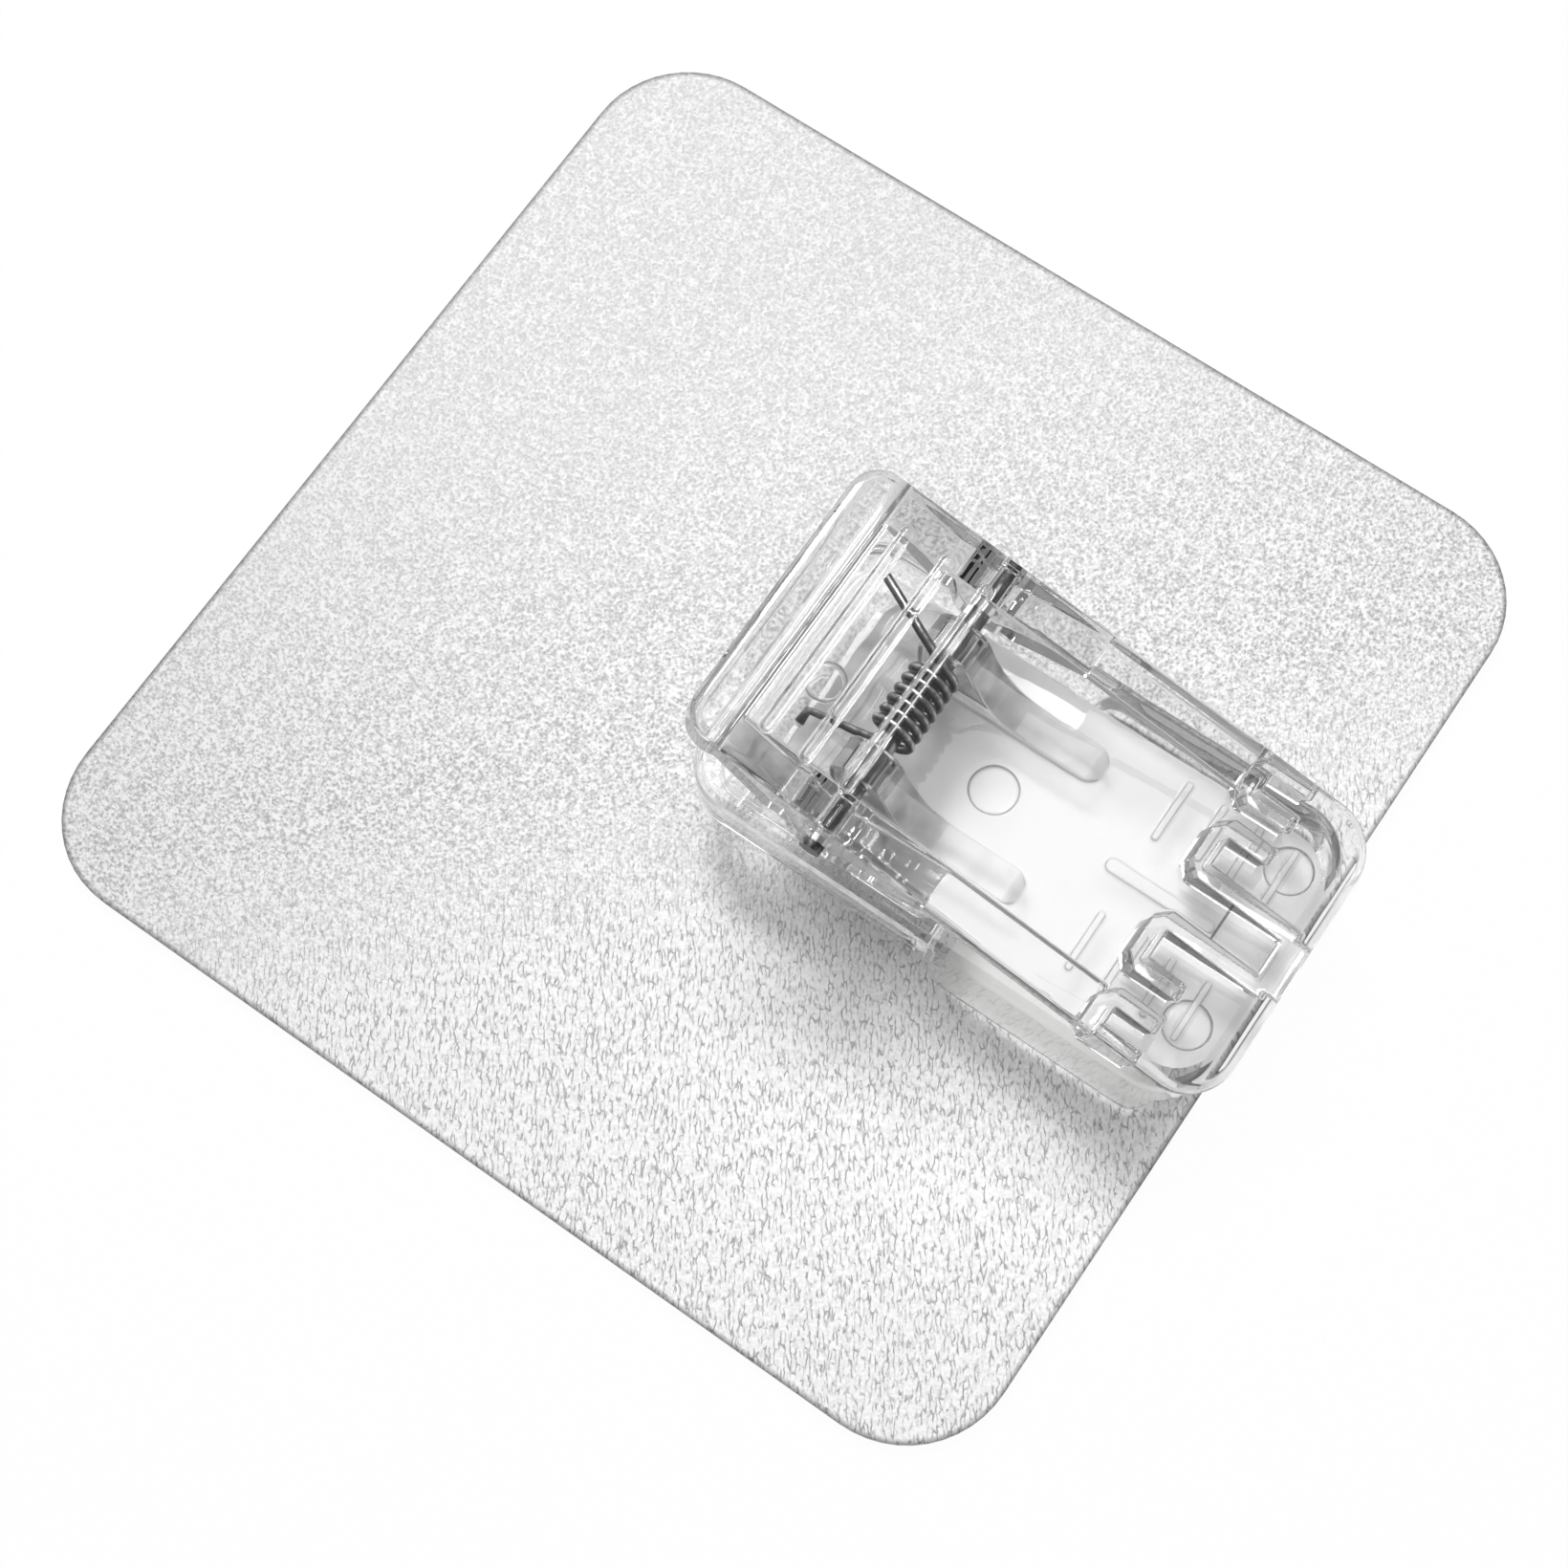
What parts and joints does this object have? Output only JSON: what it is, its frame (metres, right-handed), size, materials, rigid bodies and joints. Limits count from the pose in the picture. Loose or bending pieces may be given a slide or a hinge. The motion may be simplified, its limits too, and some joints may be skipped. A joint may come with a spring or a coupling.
{
  "type": "self-adhesive wall clip",
  "caption": "Clear sprung clip on a raised foot, fixed to a square self-adhesive plate with a silver textured face; it holds paper or light items on a wall.",
  "frame": {"origin": "centre of the plate's sticky back face", "axes": "+Z out of the wall, +Y up the wall towards the thumb end of the clip, +X to the right seen from in front"},
  "size_m": [0.06, 0.0607, 0.0181],
  "materials": {
    "adhesive": "tacky",
    "sheet": "matte",
    "silver_film": "embossed silver",
    "glue": "clear",
    "clear_plastic": "clear, polished",
    "steel": "drawn wire"
  },
  "bodies": {
    "plate": {"adhesive_layer": "adhesive", "backing_sheet": "sheet", "face_film": "silver_film", "bond_pad": "glue", "clip_base": "clear_plastic", "hinge_pin": "steel", "torsion_spring": "steel"},
    "lever": {"clip_lever": "clear_plastic"}
  },
  "joints": [
    {"name": "lever_hinge", "type": "hinge", "parent": "plate", "child": "lever", "pos_m": [0, -0.0077, 0.0122], "axis": [-1, 0, 0], "range_deg": [0, 48], "stiffness_Nm_per_rad": 0.04, "springref_deg": -91.67, "deforming": ["torsion_spring"]}
  ]
}
